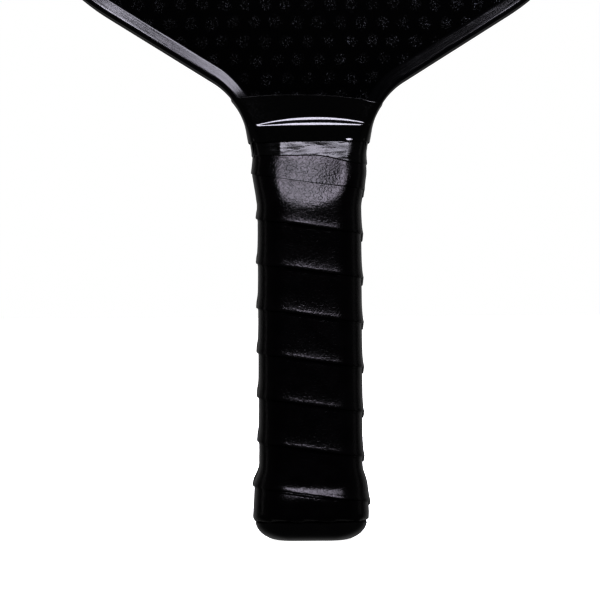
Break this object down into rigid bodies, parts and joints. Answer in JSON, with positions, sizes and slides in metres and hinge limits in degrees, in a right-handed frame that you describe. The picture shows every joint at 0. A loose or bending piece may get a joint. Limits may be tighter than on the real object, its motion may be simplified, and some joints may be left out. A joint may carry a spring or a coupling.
{
  "type": "pickleball paddle",
  "caption": "Black paddle with a flat honeycomb-cored head, glossy edge guard, throat sleeve and a handle wound with overlapping cushioned grip tape.",
  "frame": {"origin": "middle of the butt cap's flat end, on the handle's centreline", "axes": "+Z along the handle from the butt to the head, X across the face, the front face looks along -Y"},
  "size_m": [0.2, 0.034, 0.4],
  "materials": {
    "core": "translucent grey-white polypropylene honeycomb",
    "adhesive": "cured adhesive film",
    "face": "black composite skin, fine gritty satin coat",
    "guard": "glossy black moulded edging",
    "guard_tape": "foam adhesive strip",
    "pallet": "rigid foam shell",
    "cap": "smooth satin black plastic",
    "staple": "bright steel wire",
    "grip": "black grained synthetic leather, satin",
    "finishing": "glossy black vinyl tape, slightly crinkled",
    "sleeve": "glossy black shrink sleeve"
  },
  "bodies": {
    "root": {"honeycomb_core": "core", "front_adhesive_film": "adhesive", "back_adhesive_film": "adhesive", "front_face_sheet": "face", "back_face_sheet": "face", "edge_guard": "guard", "edge_guard_tape": "guard_tape", "front_handle_pallet": "pallet", "back_handle_pallet": "pallet", "front_pallet_glue": "adhesive", "back_pallet_glue": "adhesive", "butt_cap": "cap", "butt_cap_staples": "staple", "grip_tape": "grip", "finishing_tape": "finishing", "throat_sleeve": "sleeve"}
  },
  "joints": []
}
